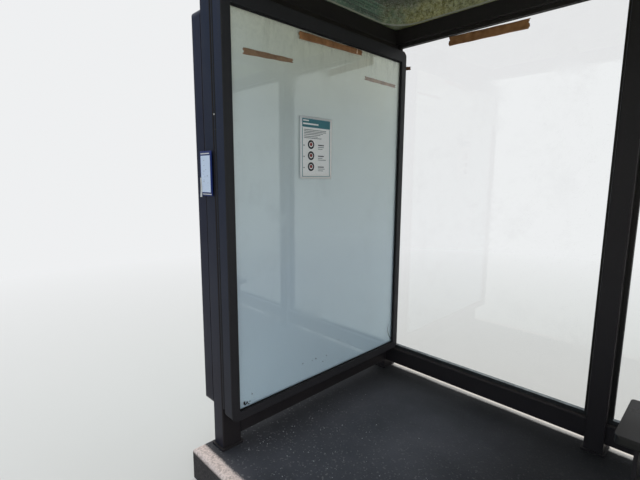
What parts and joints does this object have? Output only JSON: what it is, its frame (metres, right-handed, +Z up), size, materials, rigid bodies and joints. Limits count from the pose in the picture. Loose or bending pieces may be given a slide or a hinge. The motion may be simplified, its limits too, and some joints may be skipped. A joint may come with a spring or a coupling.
{
  "type": "bus shelter",
  "caption": "Open-fronted bus shelter with a poster case at the left end, glazed back and right end, translucent dome roof and a bench on a concrete slab.",
  "frame": {"origin": "centre of the underside of the floor slab, on the ground", "axes": "+X along the length, to the right seen from the open front; +Y from the open front to the glazed back; +Z up"},
  "size_m": [3.98, 1.544, 2.521],
  "materials": {
    "concrete": "exposed-aggregate precast concrete",
    "anthracite_steel": "satin powder coat on steel tube",
    "anthracite_aluminium": "satin powder coat on aluminium profile",
    "dark_sheet": "matt powder coat on sheet metal",
    "seat_coat": "satin powder coat on moulded seats",
    "hinge_steel": "satin powder coat",
    "pin_steel": "bright steel",
    "clamp_aluminium": "mill finish",
    "bead_aluminium": "dark anodised",
    "dome_plastic": "weathered translucent plastic",
    "wall_glass": "clear toughened glass",
    "case_glass": "clear glazing",
    "opal_sheet": "white opal sheet",
    "seal_rubber": "black gasket"
  },
  "bodies": {
    "shelter": {"floor_slab": "concrete", "post_front_left": "anthracite_steel", "post_front_right": "anthracite_steel", "post_back_left": "anthracite_steel", "post_back_middle": "anthracite_steel", "post_back_right": "anthracite_steel", "ring_tube_front": "anthracite_steel", "ring_tube_back": "anthracite_steel", "ring_tube_left": "anthracite_steel", "ring_tube_right": "anthracite_steel", "roof_crossbar": "anthracite_steel", "dome_left": "dome_plastic", "dome_middle": "dome_plastic", "dome_right": "dome_plastic", "dome_clamp_left": "clamp_aluminium", "dome_clamp_middle": "clamp_aluminium", "dome_clamp_right": "clamp_aluminium", "back_rail_left": "anthracite_steel", "back_rail_middle": "anthracite_steel", "back_rail_right": "anthracite_steel", "end_rail_left": "anthracite_steel", "end_rail_right": "anthracite_steel", "back_glass_left": "wall_glass", "back_glass_middle": "wall_glass", "back_glass_right": "wall_glass", "end_glass_right": "wall_glass", "back_beads_left": "bead_aluminium", "back_beads_middle": "bead_aluminium", "back_beads_right": "bead_aluminium", "end_beads_right": "bead_aluminium", "lamp_box": "dark_sheet", "case_collar": "dark_sheet", "hinge_fixed_leaf": "hinge_steel", "hinge_pin": "pin_steel", "outer_frame": "anthracite_aluminium", "outer_seal": "seal_rubber", "outer_window": "case_glass", "outer_backing": "opal_sheet", "bench_tube_rail": "anthracite_steel", "bench_leg_left": "anthracite_steel", "bench_leg_right": "anthracite_steel", "bench_seats": "seat_coat"},
    "case_door": {"door_frame": "anthracite_aluminium", "door_hinge_leaf": "hinge_steel", "door_seal": "seal_rubber", "door_window": "case_glass", "door_backing": "opal_sheet"}
  },
  "joints": [
    {"name": "case_door_hinge", "type": "hinge", "parent": "shelter", "child": "case_door", "pos_m": [-1.84, -0.6685, 1.2495], "axis": [0, 0, -1], "range_deg": [0, 95]}
  ]
}
